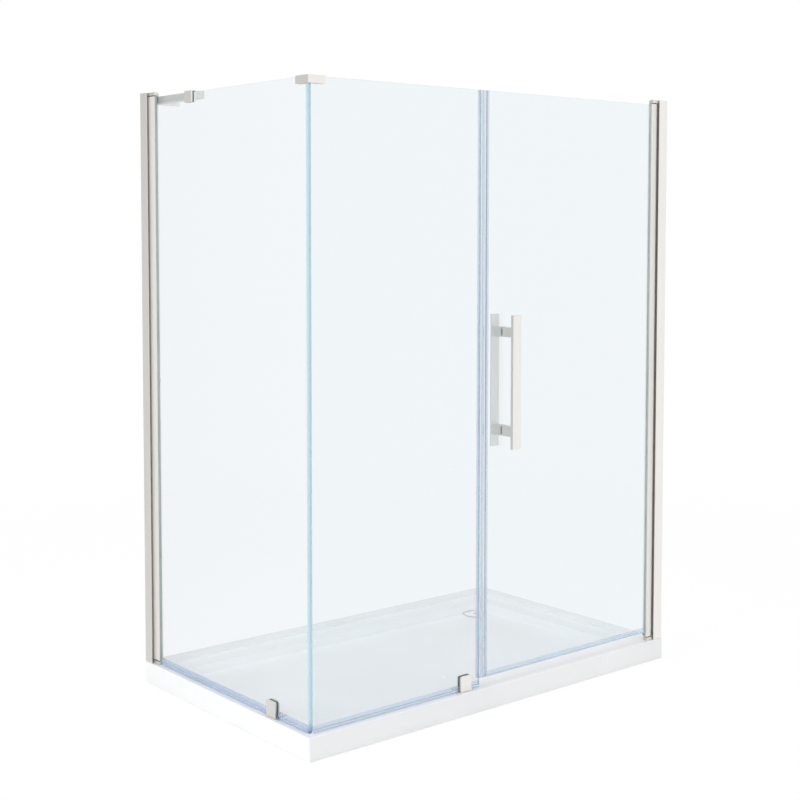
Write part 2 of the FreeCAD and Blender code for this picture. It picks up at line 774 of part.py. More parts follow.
def floor_screw(x, y, z):
    """A countersunk screw, head up at a height."""
    head = Part.makeCone(
        floor_screw_radius, floor_screw_head_radius, floor_screw_head_height,
        FreeCAD.Vector(x, y, z - floor_screw_head_height),
    )
    shank = rod(floor_screw_radius, x, y, z - floor_screw_depth, (0, 0, 1), floor_screw_depth)
    return head.fuse(shank).removeSplitter()


def floor_screw_places():
    """The places of the clamps' floor screws, as (x, y)."""
    middle = glass_thickness + pad_thickness + (clamp_inner_thickness + clamp_foot_reach) / 2
    places = []
    for side in (-1, 1):
        along = side * floor_screw_spacing / 2
        places.append((return_outer + middle, front_edge + return_clamp_from_front + along))
        places.append((left_edge + front_clamp_from_left + along, front_outer + middle))
    return places


def floor_clamps():
    """The two clamps that hold the panels at the tray: plate, liner, inner bracket and bolt."""
    z0 = tray_height + clamp_lift
    z1 = z0 + clamp_height
    bolt_z = z0 + clamp_bolt_height
    radius = clamp_corner_radius
    width = clamp_width
    liner_width = width - clamp_liner_inset - clamp_liner_inset
    y = front_edge + return_clamp_from_front
    liner_face = return_outer - clamp_liner_thickness
    plate_face = liner_face - clamp_plate_thickness
    inner_face = return_inner + pad_thickness
    inner_back = inner_face + clamp_inner_thickness
    bolts = []
    shank = inner_back - liner_face
    bolt = rod(clamp_bolt_radius, liner_face, y, bolt_z, (1, 0, 0), shank)
    head = rod(clamp_bolt_head_radius, inner_back, y, bolt_z, (1, 0, 0), clamp_bolt_head_height)
    bolts.append(bolt.fuse(head).removeSplitter())
    outer = plate_x(plate_face, liner_face, y, width, z0, z1, radius)
    liner = plate_x(liner_face, return_outer, y, liner_width, z0, z1 - clamp_liner_inset, radius)
    inner_pad = plate_x(return_inner, inner_face, y, width, glass_bottom, z1, radius)
    sleeve = rod(clamp_hole_radius, return_outer, y, bolt_z, (1, 0, 0), glass_thickness)
    liner = liner.fuse(sleeve).fuse(inner_pad).removeSplitter().cut(bolt)
    inner = plate_x(inner_face, inner_back, y, width, tray_height, z1, radius)
    foot_x = inner_face + clamp_foot_reach
    half = width / 2
    foot_top = tray_height + clamp_foot_thickness
    foot = box(inner_face, foot_x, y - half, y + half, tray_height, foot_top)
    inner = inner.fuse(foot).removeSplitter().cut(bolt)
    screws = [floor_screw(*place, foot_top) for place in floor_screw_places()]
    for screw in screws:
        inner = inner.cut(screw)
    save("return_clamp_plate", outer)
    save("return_clamp_liner", liner)
    save("return_clamp_bracket", inner)
    x = left_edge + front_clamp_from_left
    liner_face = front_outer - clamp_liner_thickness
    plate_face = liner_face - clamp_plate_thickness
    inner_face = front_inner + pad_thickness
    inner_back = inner_face + clamp_inner_thickness
    bolt = rod(clamp_bolt_radius, x, liner_face, bolt_z, (0, 1, 0), shank)
    head = rod(clamp_bolt_head_radius, x, inner_back, bolt_z, (0, 1, 0), clamp_bolt_head_height)
    bolts.append(bolt.fuse(head).removeSplitter())
    outer = plate_y(x, width, plate_face, liner_face, z0, z1, radius)
    liner = plate_y(x, liner_width, liner_face, front_outer, z0, z1 - clamp_liner_inset, radius)
    inner_pad = plate_y(x, width, front_inner, inner_face, glass_bottom, z1, radius)
    sleeve = rod(clamp_hole_radius, x, front_outer, bolt_z, (0, 1, 0), glass_thickness)
    liner = liner.fuse(sleeve).fuse(inner_pad).removeSplitter().cut(bolt)
    inner = plate_y(x, width, inner_face, inner_back, tray_height, z1, radius)
    foot_y = inner_face + clamp_foot_reach
    foot = box(x - half, x + half, inner_face, foot_y, tray_height, foot_top)
    inner = inner.fuse(foot).removeSplitter().cut(bolt)
    for screw in screws:
        inner = inner.cut(screw)
    save("front_clamp_plate", outer)
    save("front_clamp_liner", liner)
    save("front_clamp_bracket", inner)
    save("floor_clamp_bolts", *bolts)
    save("floor_clamp_screws", *screws)


def support():
    """The bar from the back wall along the return panel's top, and the clamp at its front."""
    inner_face = return_inner + pad_thickness
    bar_x0 = inner_face + support_clamp_inner
    bar_x1 = bar_x0 + support_bar_width
    bar_z1 = glass_top + support_bar_rise
    bar_z0 = bar_z1 - support_bar_height
    bar_front = front_edge + support_bar_front_from_front
    bar_back = back_edge - support_bar_rear_gap
    skin = support_bar_wall
    plug_y = bar_front + support_end_cap_thickness
    tube = box(bar_x0, bar_x1, plug_y, bar_back, bar_z0, bar_z1)
    hollow = box(bar_x0 + skin, bar_x1 - skin, bar_front, bar_back, bar_z0 + skin, bar_z1 - skin)
    clamp_y = bar_front + support_clamp_width / 2
    bolt_z = glass_top - support_bolt_drop
    outer_face = return_outer - pad_thickness
    plate_face = outer_face - support_clamp_plate
    bolt_length = bar_x0 + skin + clamp_bolt_head_height - outer_face
    bolt = rod(clamp_bolt_radius, outer_face, clamp_y, bolt_z, (1, 0, 0), bolt_length)
    save("support_bar", tube.cut(hollow).cut(bolt))
    end_cap = box(bar_x0, bar_x1, bar_front, plug_y, bar_z0, bar_z1 + support_end_cap_rise)
    fit = skin + slide_clearance
    plug = box(
        bar_x0 + fit, bar_x1 - fit, plug_y, plug_y + support_end_plug, bar_z0 + fit, bar_z1 - fit
    )
    save("support_bar_end_cap", end_cap.fuse(plug).removeSplitter())
    collar_end = bar_back + support_collar_length
    inset = support_collar_inset
    collar = box(bar_x0 + inset, bar_x1 - inset, bar_back, collar_end, bar_z0 + inset, bar_z1 - inset)
    save("support_bar_collar", collar)
    plate_y0 = back_edge - support_plate_thickness
    plate_x0 = return_middle + profile_width / 2 + support_profile_clearance
    plate_x1 = bar_x0 + support_plate_width
    socket = box(plate_x0, bar_x1, collar_end, plate_y0, bar_z0, bar_z1)
    plate = box(plate_x0, plate_x1, plate_y0, back_edge, bar_z0, bar_z1)
    bracket = socket.fuse(plate).removeSplitter()
    hole_z = (bar_z0 + bar_z1) / 2
    for i in range(2):
        hole_x = plate_x1 - support_plate_hole_inset - i * support_plate_hole_spacing
        bracket = bracket.cut(
            rod(support_plate_hole_radius, hole_x, plate_y0, hole_z, (0, 1, 0), support_plate_thickness)
        )
    save("support_wall_bracket", bracket)
    clamp_z1 = glass_top + support_clamp_rise
    clamp_z0 = clamp_z1 - support_clamp_height
    half = support_clamp_width / 2
    y0 = clamp_y - half
    y1 = clamp_y + half
    outer = box(plate_face, outer_face, y0, y1, clamp_z0, clamp_z1)
    outer = outer.makeFillet(edge_break, [e for e in outer.Edges if e.CenterOfMass.x < plate_face + skin / 2])
    save("support_clamp_plate", outer)
    notch_half = support_notch_width / 2 - slide_clearance
    notch_z = glass_top - support_notch_depth + slide_clearance
    fill = box(outer_face, inner_face, clamp_y - notch_half, clamp_y + notch_half, notch_z, glass_top)
    pad_front = box(outer_face, return_outer, y0, y1, clamp_z0, clamp_z1)
    pad_back = box(return_inner, inner_face, y0, y1, clamp_z0, clamp_z1)
    save("support_clamp_gasket", fill.fuse(pad_front).fuse(pad_back).removeSplitter().cut(bolt))
    inner = box(inner_face, bar_x0, y0, y1, clamp_z0, clamp_z1)
    save("support_clamp_block", inner.cut(bolt))
    save("support_clamp_bolt", bolt)


def hinge_profile():
    """The door's hinge profile: a slot for the glass, and a round heel about the pivot."""
    face = pivot_y - heel_radius
    nose = pivot_x - hinge_nose
    bottom = insert_bottom
    top = insert_top
    heel = rod(heel_radius, pivot_x, pivot_y, bottom, (0, 0, 1), top - bottom)
    flank = box(nose, pivot_x, face, front_outer, bottom, top)
    left = [e for e in edges_along(flank, 2) if e.CenterOfMass.x < (nose + pivot_x) / 2]
    corner = [e for e in left if e.CenterOfMass.y < (face + front_outer) / 2]
    flank = flank.makeFillet(hinge_corner_radius, corner)
    lip = box(nose + glazing_lip_setback, pivot_x, face, pivot_y + inner_reach, bottom, top)
    profile = heel.fuse(flank).fuse(lip).removeSplitter()
    slot_end = nose + hinge_slot_depth
    outer_y = face + hinge_front_wall
    slot = box(nose - overrun, slot_end, outer_y, front_inner + slide_clearance, 0, cap_top)
    bore = rod(heel_radius - insert_wall, pivot_x, pivot_y, bottom - overrun, (0, 0, 1), cap_top)
    bore = bore.cut(box(left_edge, slot_end + pivot_web, front_edge, back_edge, 0, cap_top + tray_height))
    save("door_hinge_profile", profile.cut(slot).cut(bore))
    gasket = box(nose, slot_end - hinge_glass_clearance, outer_y, front_outer, bottom, top)
    save("door_glazing_gasket", gasket)
    bush_radius = heel_radius - insert_wall - bush_clearance
    hole = pin_radius + pin_running_clearance
    flat_x = slot_end + pivot_web + bush_clearance
    bushes = []
    for z0 in (bottom, top - bush_length):
        bush = rod(bush_radius, pivot_x, pivot_y, z0, (0, 0, 1), bush_length)
        bush = bush.cut(box(left_edge, flat_x, front_edge, back_edge, 0, cap_top))
        bushes.append(bush.cut(rod(hole, pivot_x, pivot_y, z0, (0, 0, 1), bush_length)))
    save("door_pivot_bushes", *bushes)
    washer = rod(washer_radius, pivot_x, pivot_y, bottom_cap_top, (0, 0, 1), cap_gap)
    save("door_thrust_washer", washer.cut(rod(hole, pivot_x, pivot_y, bottom_cap_top, (0, 0, 1), cap_gap)))


def door_panel():
    """The door's glass, and the sweep under it."""
    glass_x0 = strike_x + strike_edge_gap
    glass_x1 = pivot_x - hinge_nose + hinge_slot_depth - hinge_glass_clearance
    pane = box(glass_x0, glass_x1, front_outer, front_inner, door_glass_bottom, glass_top)
    for z in handle_post_heights():
        pane = pane.cut(
            rod(handle_glass_hole_radius, handle_x(), front_outer, z, (0, 1, 0), glass_thickness)
        )
    save("door_glass", pane)
    sweep_x0 = strike_x + strike_gap / 2
    sweep_x1 = pivot_x - hinge_nose - sweep_end_gap
    sweep_z0 = door_glass_bottom - seal_clearance - sweep_web
    channel = edge_channel(
        sweep_x0, sweep_x1, front_outer, front_inner,
        sweep_z0, sweep_z0 + sweep_height, sweep_z0, sweep_z0 + sweep_web,
    )
    leg_end = glass_x0 + strike_leg
    face = seal_clearance + seal_wall
    notch = box(
        sweep_x0 - overrun, leg_end + slide_clearance, front_outer - face, front_inner + face,
        door_glass_bottom - slide_clearance, glass_top,
    )
    save("door_sweep", channel.cut(notch))


def handle_x():
    """The handle's place across the door."""
    return strike_x + handle_from_strike


def handle_post_heights():
    """The heights of the handle's two posts."""
    half = handle_post_spacing / 2
    return (handle_centre_height - half, handle_centre_height + half)


def handle_half(face, out, post_length, bar_thickness):
    """One pull: a flat bar on two posts, from a face of the glass outwards along Y."""
    start = face + out * handle_gasket_thickness
    post_end = start + out * post_length
    bar_end = post_end + out * bar_thickness
    x = handle_x()
    half = handle_bar_width / 2
    z_half = handle_length / 2
    z_mid = handle_centre_height
    y0 = min(post_end, bar_end)
    y1 = max(post_end, bar_end)
    pull = box(x - half, x + half, y0, y1, z_mid - z_half, z_mid + z_half)
    pull = pull.makeFillet(edge_break, pull.Edges)
    post_half = handle_post_width / 2
    seat = post_end + out * edge_break
    y0 = min(start, seat)
    y1 = max(start, seat)
    for z in handle_post_heights():
        rise = handle_post_height / 2
        pull = pull.fuse(box(x - post_half, x + post_half, y0, y1, z - rise, z + rise))
    return pull.removeSplitter()


def handle():
    """The back-to-back handle, its gaskets, studs and grub screws."""
    x = handle_x()
    outer = handle_half(front_outer, -1, handle_outer_post_length, handle_outer_bar_thickness)
    inner = handle_half(front_inner, 1, handle_inner_post_length, handle_inner_bar_thickness)
    gaskets = []
    studs = []
    grubs = []
    stud_start = front_outer - handle_gasket_thickness - handle_stud_seat
    stud_end = front_inner + handle_gasket_thickness + handle_stud_seat
    for z in handle_post_heights():
        stud = rod(handle_stud_radius, x, stud_start, z, (0, 1, 0), stud_end - stud_start)
        studs.append(stud)
        outer = outer.cut(stud)
        inner = inner.cut(stud)
        grub_y = front_inner + handle_gasket_thickness + handle_stud_seat / 2
        grub_z = z - handle_post_height / 2
        grub = rod(handle_grub_radius, x, grub_y, grub_z, (0, 0, 1), handle_grub_length)
        grubs.append(grub)
        inner = inner.cut(grub)
        half = handle_gasket_width / 2
        rise = handle_gasket_height / 2
        front_pad = box(
            x - half, x + half, front_outer - handle_gasket_thickness, front_outer, z - rise, z + rise
        )
        back_pad = box(
            x - half, x + half, front_inner, front_inner + handle_gasket_thickness, z - rise, z + rise
        )
        sleeve = rod(handle_glass_hole_radius, x, front_outer, z, (0, 1, 0), glass_thickness)
        gaskets.append(front_pad.fuse(sleeve).fuse(back_pad).removeSplitter().cut(stud))
    save("handle_outer", outer)
    save("handle_inner", inner)
    save("handle_gaskets", *gaskets)
    save("handle_studs", *studs)
    save("handle_grub_screws", *grubs)


tray()
drain()
return_side()
door_side()
lock_screws()
panels()
strike_seals()
corner_joint()
floor_clamps()
support()
hinge_profile()
door_panel()
handle()
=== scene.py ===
import json
import math

import bmesh
import bpy
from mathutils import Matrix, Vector

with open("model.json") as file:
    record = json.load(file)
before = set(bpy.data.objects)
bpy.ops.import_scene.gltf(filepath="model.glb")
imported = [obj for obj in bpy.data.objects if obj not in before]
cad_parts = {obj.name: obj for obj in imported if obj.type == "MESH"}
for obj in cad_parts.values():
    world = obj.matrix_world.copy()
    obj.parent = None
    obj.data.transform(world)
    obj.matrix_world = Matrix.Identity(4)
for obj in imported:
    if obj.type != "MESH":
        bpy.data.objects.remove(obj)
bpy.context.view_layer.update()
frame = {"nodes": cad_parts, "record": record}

# The view: from the front left at about eye height, looking slightly down
VIEW_POINT = (-3.0388, -3.5636, 1.4990)
VIEW_HEADING = math.radians(50.7266)
VIEW_DIP = math.radians(3.4323)
VIEW_LENS = 62.98
VIEW_SHIFT = (0.0223, -0.11)

# Light levels, at which a colour renders about as it is written
WHITE_LEVEL = 1.0
SKY_LEVEL = 0.66

# In reflections alone the sky and the floor go from a brighter level at the right front to a
# dimmer one at the back left, and near the horizon the sky is as bright as the floor
SKY_GLOW = (1.17, 0.38)
FLOOR_GLOW = (1.09, 0.68)
DIM_SIDE = (-0.63, 0.77, 0.0)
HORIZON_FADE = (0.11, 0.15)

FLOOR_HALF_WIDTH = 30.0
FLOOR_DROP = 0.0005
FLOOR_COLOUR = (0.97, 0.97, 0.97)
FLOOR_FADE = (1.5, 4.0)
FLOOR_WHITE_SHARES = (0.88, 1.0)

# The soft box lamps, each with its place and its watts
LAMPS = (
    ("left_front_box", (-6.4, -1.2, 2.6), 145.0),
    ("right_front_box", (3.4, -5.6, 2.0), 32.0),
    ("overhead_box", (0.0, 0.0, 5.5), 100.0),
)
LAMP_AIM = (0.0, 0.0, 0.9)
LAMP_SIZE = 3.0

# How a grain is drawn out: up the shower, from front to back, from left to right, or not at all
UPRIGHT = (1.0, 1.0, 0.02)
CROSSWISE = (1.0, 0.02, 1.0)
LENGTHWISE = (0.02, 1.0, 1.0)
EVEN = (1.0, 1.0, 1.0)
BOARD_FIBRES = (0.3, 1.0, 1.0)

# The tones of each finish, the darker one first
NICKEL_TONES = ((0.81, 0.79, 0.755), (0.87, 0.855, 0.825))
INSERT_TONES = ((0.79, 0.765, 0.735), (0.85, 0.83, 0.80))
CAP_TONES = ((0.74, 0.72, 0.69), (0.8, 0.78, 0.75))
STEEL_TONES = ((0.55, 0.55, 0.55), (0.66, 0.66, 0.66))
ACRYLIC_TONES = ((0.865, 0.87, 0.875), (0.885, 0.89, 0.895))
BOARD_TONES = ((0.33, 0.23, 0.13), (0.5, 0.38, 0.24))
FEET_TONES = ((0.05, 0.05, 0.055), (0.07, 0.07, 0.075))
DRAIN_TONES = ((0.83, 0.84, 0.85), (0.86, 0.87, 0.88))
RUBBER_TONES = ((0.18, 0.195, 0.19), (0.23, 0.245, 0.24))
GASKET_TONES = ((0.35, 0.40, 0.385), (0.42, 0.47, 0.455))
ACETAL_TONES = ((0.78, 0.78, 0.75), (0.84, 0.84, 0.81))
JAMB_SEAL_TONES = ((0.44, 0.42, 0.39), (0.5, 0.48, 0.45))
FRONT_SEAL_TONES = ((0.88, 0.93, 0.985), (0.92, 0.955, 0.99))
STRIKE_SEAL_TONES = ((0.775, 0.815, 0.882), (0.845, 0.873, 0.925))
RETURN_SEAL_TONES = ((0.80, 0.865, 0.985), (0.86, 0.91, 0.99))

# Glass: a pane's face is where the surface's normal lies along the pane's thickness
GLASS_IOR = 1.5
RETURN_GLASS_TINT = (0.925, 0.962, 0.983)
# The front and door panes' tint is darker than the return pane's: painted shade on the same glass
FRONT_GLASS_SHADED_TINT = (0.862, 0.903, 0.928)
GLASS_EDGE_COLOUR = (0.42, 0.61, 0.69)
GLASS_EDGE_CLARITY = 0.1
FACE_FADE = (0.4, 0.6)
GLASS_PASS_TINT = (0.965, 0.98, 0.985)

# The vinyl of the clear seals and of the milky one at the corner
SEAL_IOR = 1.2
SEAL_LINES_SCALE = 30.0
SEAL_GLOSS_SCALE = 200.0
SEAL_PASS_TINT = (0.85, 0.9, 0.95)
SEAL_PASS_SHARE = 0.7
CORNER_SEAL_COLOUR = (0.62, 0.795, 0.86)

# Where the panes and the corner seal stand in the clear bottom seals, their ends look deep blue
FOOT_COLOUR = (0.29, 0.39, 0.66)
FOOT_SHARES = (0.006, 0.015)


def new_finish(name):
    """A material with its node tree and its shader."""
    material = bpy.data.materials.new(name)
    material.use_nodes = True
    tree = material.node_tree
    return material, tree, tree.nodes["Principled BSDF"]


def feed(tree, socket, value):
    """Links another node's output to a socket, or sets a plain number on it."""
    if isinstance(value, bpy.types.NodeSocket):
        tree.links.new(value, socket)
    else:
        socket.default_value = value


def calculate(tree, operation, first, second, clamp=False):
    """A number worked out from two others."""
    node = tree.nodes.new("ShaderNodeMath")
    node.operation = operation
    node.use_clamp = clamp
    feed(tree, node.inputs[0], first)
    feed(tree, node.inputs[1], second)
    return node.outputs["Value"]


def between(tree, share, first, second):
    """A number that goes from the first to the second with a share."""
    node = tree.nodes.new("ShaderNodeMix")
    feed(tree, node.inputs["Factor"], share)
    feed(tree, node.inputs["A"], first)
    feed(tree, node.inputs["B"], second)
    return node.outputs["Result"]


def spread(tree, pattern, low, high, start=0.0, end=1.0):
    """A number that goes from low to high while a pattern goes from start to end."""
    span = tree.nodes.new("ShaderNodeMapRange")
    span.inputs["From Min"].default_value = start
    span.inputs["From Max"].default_value = end
    span.inputs["To Min"].default_value = low
    span.inputs["To Max"].default_value = high
    tree.links.new(pattern, span.inputs["Value"])
    return span.outputs["Result"]


def grain(tree, scale, stretch=EVEN, detail=4.0):
    """A noise pattern fixed to the piece, drawn out along an axis for brushed or drawn surfaces."""
    place = tree.nodes.new("ShaderNodeTexCoord")
    mapping = tree.nodes.new("ShaderNodeMapping")
    mapping.inputs["Scale"].default_value = stretch
    noise = tree.nodes.new("ShaderNodeTexNoise")
    noise.inputs["Scale"].default_value = scale
    noise.inputs["Detail"].default_value = detail
    tree.links.new(place.outputs["Object"], mapping.inputs["Vector"])
    tree.links.new(mapping.outputs["Vector"], noise.inputs["Vector"])
    return noise.outputs["Fac"]


def two_tones(tree, pattern, dark, light, low=0.35, high=0.65):
    """A colour that goes from dark to light with a pattern."""
    ramp = tree.nodes.new("ShaderNodeValToRGB")
    ramp.color_ramp.elements[0].position = low
    ramp.color_ramp.elements[0].color = (*dark, 1.0)
    ramp.color_ramp.elements[1].position = high
    ramp.color_ramp.elements[1].color = (*light, 1.0)
    tree.links.new(pattern, ramp.inputs["Fac"])
    return ramp.outputs["Color"]


def axis_shares(tree, vector):
    """The outputs X, Y and Z of a vector."""
    split = tree.nodes.new("ShaderNodeSeparateXYZ")
    tree.links.new(vector, split.inputs["Vector"])
    return split.outputs


def blue_foot(tree, colour):
    """A colour that turns deep blue over the lowest few centimetres of an upright piece."""
    place = tree.nodes.new("ShaderNodeTexCoord")
    height = axis_shares(tree, place.outputs["Generated"])["Z"]
    return two_tones(tree, height, FOOT_COLOUR, colour, *FOOT_SHARES)


def raise_surface(tree, shader, pattern, strength, distance=0.0002):
    """Fine relief from a pattern."""
    bump = tree.nodes.new("ShaderNodeBump")
    bump.inputs["Strength"].default_value = strength
    bump.inputs["Distance"].default_value = distance
    tree.links.new(pattern, bump.inputs["Height"])
    tree.links.new(bump.outputs["Normal"], shader.inputs["Normal"])


def satin_metal(name, tones, stretch, roughness=(0.4, 0.5), metallic=0.78):
    """Brushed metal: fine streaks along one axis, in tone and relief, under a cloudy gloss."""
    material, tree, shader = new_finish(name)
    shader.inputs["Metallic"].default_value = metallic
    streaks = grain(tree, scale=420.0, stretch=stretch, detail=6.0)
    clouds = grain(tree, scale=3.0)
    tree.links.new(two_tones(tree, streaks, *tones, low=0.2, high=0.8), shader.inputs["Base Color"])
    tree.links.new(spread(tree, clouds, *roughness), shader.inputs["Roughness"])
    raise_surface(tree, shader, streaks, strength=0.06)
    return material


def moulded_plastic(name, tones, roughness, relief=0.08):
    """Moulded plastic or rubber with a fine surface."""
    material, tree, shader = new_finish(name)
    skin = grain(tree, scale=600.0)
    clouds = grain(tree, scale=9.0)
    tree.links.new(two_tones(tree, clouds, *tones), shader.inputs["Base Color"])
    tree.links.new(spread(tree, skin, *roughness), shader.inputs["Roughness"])
    raise_surface(tree, shader, skin, strength=relief)
    return material


def white_acrylic():
    """The base's glossy acrylic, with the slight waves of a formed sheet."""
    material, tree, shader = new_finish("white_acrylic")
    shader.inputs["Coat Weight"].default_value = 0.3
    shader.inputs["Coat Roughness"].default_value = 0.06
    waves = grain(tree, scale=5.0, detail=1.0)
    skin = grain(tree, scale=40.0)
    tree.links.new(two_tones(tree, waves, *ACRYLIC_TONES), shader.inputs["Base Color"])
    tree.links.new(spread(tree, skin, low=0.2, high=0.3), shader.inputs["Roughness"])
    raise_surface(tree, shader, waves, strength=0.008, distance=0.002)
    return material


def fibre_board():
    """The stiffening board under the pan, pressed from wood fibre."""
    material, tree, shader = new_finish("fibre_board")
    fibres = grain(tree, scale=160.0, stretch=BOARD_FIBRES, detail=8.0)
    tree.links.new(two_tones(tree, fibres, *BOARD_TONES), shader.inputs["Base Color"])
    tree.links.new(spread(tree, fibres, low=0.7, high=0.9), shader.inputs["Roughness"])
    raise_surface(tree, shader, fibres, strength=0.3, distance=0.0005)
    return material


def mirrored_only(tree, rays):
    """1 for what a surface mirrors, and 0 for what shows through a clear one."""
    return calculate(tree, "SUBTRACT", rays["Is Glossy Ray"], rays["Is Transmission Ray"], clamp=True)


def let_light_through(tree, shader, tint, share=1.0):
    """Lets light pass to the pieces behind, where the shader alone would dim it twice or cast a
    dark shadow."""
    rays = tree.nodes.new("ShaderNodeLightPath").outputs
    soft = calculate(tree, "MAXIMUM", rays["Is Diffuse Ray"], mirrored_only(tree, rays))
    passing = calculate(tree, "MAXIMUM", rays["Is Shadow Ray"], soft)
    clear = tree.nodes.new("ShaderNodeBsdfTransparent")
    clear.inputs["Color"].default_value = (*tint, 1.0)
    blend = tree.nodes.new("ShaderNodeMixShader")
    tree.links.new(calculate(tree, "MULTIPLY", passing, share), blend.inputs["Fac"])
    tree.links.new(shader.outputs["BSDF"], blend.inputs[1])
    tree.links.new(clear.outputs["BSDF"], blend.inputs[2])
    tree.links.new(blend.outputs["Shader"], tree.nodes["Material Output"].inputs["Surface"])


def clear_glass(name, face_axis, face_tint):
    """Tempered glass: almost clear through its faces, dense blue-green at its polished edges."""
    material, tree, shader = new_finish(name)
    shader.inputs["Roughness"].default_value = 0.0
    shader.inputs["IOR"].default_value = GLASS_IOR
    place = tree.nodes.new("ShaderNodeTexCoord")
    size = tree.nodes.new("ShaderNodeMath")
    size.operation = "ABSOLUTE"
    tree.links.new(axis_shares(tree, place.outputs["Normal"])[face_axis], size.inputs[0])
    facing = size.outputs["Value"]
    face = spread(tree, facing, 0.0, 1.0, *FACE_FADE)
    clarity = spread(tree, facing, GLASS_EDGE_CLARITY, 1.0, *FACE_FADE)
    tint = tree.nodes.new("ShaderNodeMix")
    tint.data_type = "RGBA"
    tint.inputs["B"].default_value = (*face_tint, 1.0)
    tree.links.new(face, tint.inputs["Factor"])
    tree.links.new(blue_foot(tree, GLASS_EDGE_COLOUR), tint.inputs["A"])
    tree.links.new(tint.outputs["Result"], shader.inputs["Base Color"])
    tree.links.new(clarity, shader.inputs["Transmission Weight"])
    waves = grain(tree, scale=2.0, detail=1.0)
    raise_surface(tree, shader, waves, strength=0.02, distance=0.001)
    let_light_through(tree, shader, GLASS_PASS_TINT)
    return material


def finish_vinyl(tree, shader, lines, clarity, roughness, stretch=EVEN):
    """What the seals share: their clearness and gloss, the die's faint lines as relief, and the
    light that they let pass."""
    shader.inputs["IOR"].default_value = SEAL_IOR
    shader.inputs["Transmission Weight"].default_value = clarity
    gloss = grain(tree, SEAL_GLOSS_SCALE, stretch)
    tree.links.new(spread(tree, gloss, *roughness), shader.inputs["Roughness"])
    raise_surface(tree, shader, lines, strength=0.03, distance=0.0005)
    let_light_through(tree, shader, SEAL_PASS_TINT, SEAL_PASS_SHARE)


def clear_seal(name, tones, clarity, stretch):
    """Clear, slightly blue vinyl, with the faint lines of the die along the seal."""
    material, tree, shader = new_finish(name)
    lines = grain(tree, SEAL_LINES_SCALE, stretch)
    tree.links.new(two_tones(tree, lines, *tones), shader.inputs["Base Color"])
    finish_vinyl(tree, shader, lines, clarity, roughness=(0.08, 0.16), stretch=stretch)
    return material


def milky_seal():
    """The milky seal between the two panes' ends."""
    material, tree, shader = new_finish("corner_seal")
    lines = grain(tree, SEAL_LINES_SCALE)
    tree.links.new(blue_foot(tree, CORNER_SEAL_COLOUR), shader.inputs["Base Color"])
    finish_vinyl(tree, shader, lines, clarity=0.3, roughness=(0.25, 0.35))
    return material


def slot_finishes():
    """The finish of each material slot."""
    return {
        "acrylic": white_acrylic(),
        "board": fibre_board(),
        "foot_plastic": moulded_plastic("dark_plastic", FEET_TONES, (0.5, 0.65)),
        "drain_plastic": moulded_plastic("white_plastic", DRAIN_TONES, (0.2, 0.3), relief=0.03),
        "rubber": moulded_plastic("dark_rubber", RUBBER_TONES, (0.55, 0.7), relief=0.15),
        "grey_gasket": moulded_plastic("grey_gasket", GASKET_TONES, (0.4, 0.55)),
        "extrusion": satin_metal("nickel_extrusion", NICKEL_TONES, UPRIGHT),
        "cap_plastic": satin_metal("nickel_cap", CAP_TONES, EVEN, roughness=(0.45, 0.55)),
        "hardware": satin_metal("nickel_hardware", NICKEL_TONES, UPRIGHT),
        "steel": satin_metal("plated_steel", STEEL_TONES, EVEN),
        "clear_seal": clear_seal("clear_seal", FRONT_SEAL_TONES, 0.96, LENGTHWISE),
        "bearing": moulded_plastic("natural_acetal", ACETAL_TONES, (0.3, 0.4), relief=0.05),
    }


def node_finishes():
    """The finishes that single nodes have instead of their slot's."""
    rows = (
        (satin_metal("nickel_bar", NICKEL_TONES, CROSSWISE), ["support_bar"]),
        (
            satin_metal("nickel_insert", INSERT_TONES, UPRIGHT, metallic=0.3),
            ["return_glazing_profile", "door_hinge_profile", "door_jamb_insert"],
        ),
        (clear_glass("return_pane_glass", "X", RETURN_GLASS_TINT), ["return_glass"]),
        # The front and door panes take the darker tint, which is painted shade
        (clear_glass("front_pane_glass_painted_shade", "Y", FRONT_GLASS_SHADED_TINT), ["front_glass", "door_glass"]),
        (milky_seal(), ["corner_seal"]),
        (
            clear_seal("strike_seal", STRIKE_SEAL_TONES, 0.95, UPRIGHT),
            ["front_strike_seal", "door_strike_seal"],
        ),
        (clear_seal("return_seal", RETURN_SEAL_TONES, 0.95, CROSSWISE), ["return_bottom_seal"]),
        (moulded_plastic("warm_grey_seal", JAMB_SEAL_TONES, (0.5, 0.6)), ["door_jamb_seal"]),
        (satin_metal("nickel_wall_plate", NICKEL_TONES, LENGTHWISE), ["support_wall_bracket"]),
    )
    return {node: finish for finish, nodes in rows for node in nodes}


def finish_cad_nodes():
    """Gives every CAD node its own finish, or else its slot's."""
    by_slot = slot_finishes()
    by_node = node_finishes()
    for part in frame["record"]["subparts"]:
        finish = by_node.get(part["node"]) or by_slot[part["material_slot"]]
        for place in frame["nodes"][part["node"]].material_slots:
            place.material = finish


def by_side(tree, direction, levels):
    """A level that goes from the first at the bright side to the second at the dim side."""
    toward = tree.nodes.new("ShaderNodeVectorMath")
    toward.operation = "DOT_PRODUCT"
    toward.inputs[1].default_value = DIM_SIDE
    tree.links.new(direction, toward.inputs[0])
    return spread(tree, toward.outputs["Value"], *levels, start=-1.0, end=1.0)


